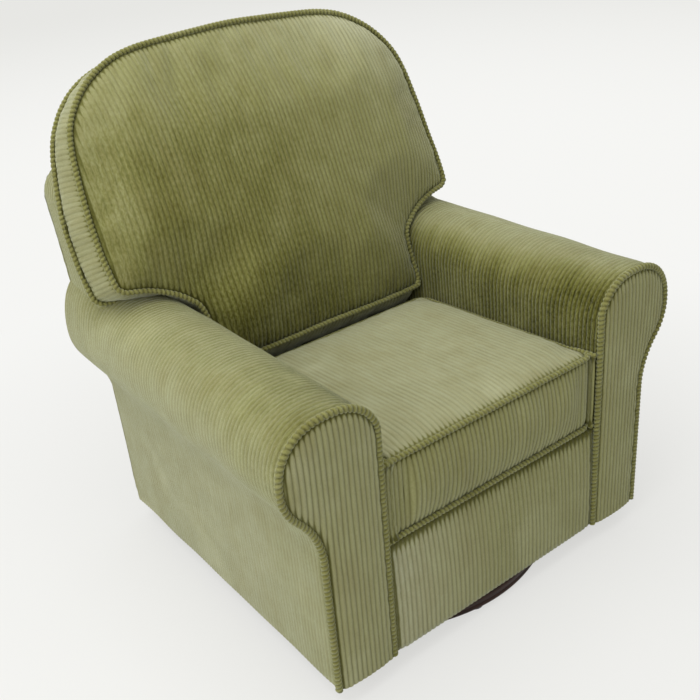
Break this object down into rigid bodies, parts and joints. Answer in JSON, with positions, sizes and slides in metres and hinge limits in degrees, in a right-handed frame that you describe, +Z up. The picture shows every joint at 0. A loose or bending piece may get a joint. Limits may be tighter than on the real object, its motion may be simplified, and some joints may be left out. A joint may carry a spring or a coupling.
{
  "type": "swivel glider chair",
  "caption": "Upholstered armchair with rolled arms, a T-shaped back cushion and a loose seat cushion, which swivels on a round floor ring and glides to and fro on hanging links.",
  "frame": {"origin": "on the floor, below the middle of the chair's box", "axes": "+Z up, the seat's front towards -Y, +X towards the sitter's left hand; left and right in the nodes' names are as seen from the front"},
  "size_m": [0.8564, 0.79, 0.9653],
  "materials": {
    "corduroy": "sage-green wide-wale corduroy over padding",
    "stained_wood": "dark reddish-brown stain, satin",
    "frame_wood": "raw hardwood and plywood",
    "black_steel": "black powder coat",
    "bright_steel": "bright zinc",
    "nylon": "natural nylon",
    "glide_plastic": "dark moulded plastic",
    "deck_cloth": "plain woven deck cloth over thin padding"
  },
  "bodies": {
    "base": {"base_ring": "stained_wood", "floor_glide_1": "glide_plastic", "floor_glide_2": "glide_plastic", "floor_glide_3": "glide_plastic", "floor_glide_4": "glide_plastic", "base_cross": "black_steel", "lower_race": "bright_steel", "pivot_bolt": "bright_steel"},
    "turntable": {"bearing_ring": "nylon", "upper_race": "bright_steel", "swivel_plate": "black_steel", "front_cross_tube": "black_steel", "rear_cross_tube": "black_steel", "left_side_plate": "black_steel", "right_side_plate": "black_steel", "front_left_pivot_bush": "nylon", "front_right_pivot_bush": "nylon", "rear_left_pivot_bush": "nylon", "rear_right_pivot_bush": "nylon"},
    "front_swing": {"front_rocker_shaft": "bright_steel", "front_left_link": "black_steel", "front_right_link": "black_steel"},
    "rear_swing": {"rear_rocker_shaft": "bright_steel", "rear_left_link": "black_steel", "rear_right_link": "black_steel"},
    "chair": {"left_carriage_rail": "black_steel", "right_carriage_rail": "black_steel", "front_left_link_pin": "bright_steel", "front_right_link_pin": "bright_steel", "rear_left_link_pin": "bright_steel", "rear_right_link_pin": "bright_steel", "left_side_rail": "frame_wood", "right_side_rail": "frame_wood", "front_rail": "frame_wood", "back_rail": "frame_wood", "spring_rail": "frame_wood", "left_arm_front_post": "frame_wood", "left_arm_rear_post": "frame_wood", "right_arm_front_post": "frame_wood", "right_arm_rear_post": "frame_wood", "left_back_post": "frame_wood", "right_back_post": "frame_wood", "back_top_rail": "frame_wood", "seat_spring_1": "bright_steel", "seat_spring_2": "bright_steel", "seat_spring_3": "bright_steel", "seat_deck": "deck_cloth", "front_border": "corduroy", "left_arm_cover": "corduroy", "right_arm_cover": "corduroy", "left_outside_arm": "corduroy", "right_outside_arm": "corduroy", "left_arm_facing": "corduroy", "right_arm_facing": "corduroy", "outside_back": "corduroy", "left_back_side_cover": "corduroy", "right_back_side_cover": "corduroy", "back_top_cover": "corduroy", "back_cushion": "corduroy"},
    "loose_cushion": {"seat_cushion": "corduroy"}
  },
  "joints": [
    {"name": "swivel", "type": "hinge", "parent": "base", "child": "turntable", "pos_m": [0, -0.057, 0.0468], "axis": [0, 0, 1], "continuous": true},
    {"name": "glide", "type": "hinge", "parent": "turntable", "child": "front_swing", "pos_m": [0, -0.177, 0.1901], "axis": [1, 0, 0], "range_deg": [-25, 25]},
    {"name": "rear_link_swing", "type": "hinge", "parent": "turntable", "child": "rear_swing", "pos_m": [0, 0.063, 0.1901], "axis": [1, 0, 0], "range_deg": [-25, 25]},
    {"name": "chair_level", "type": "hinge", "parent": "front_swing", "child": "chair", "pos_m": [0, -0.177, 0.0801], "axis": [1, 0, 0], "range_deg": [-25, 25]},
    {"name": "cushion_pull", "type": "slide", "parent": "chair", "child": "loose_cushion", "axis": [0, -1, 0], "range_m": [0, 0.25]}
  ],
  "couplings": [
    {"joint": "rear_link_swing", "follows": "glide", "ratio": 1},
    {"joint": "chair_level", "follows": "glide", "ratio": -1}
  ]
}
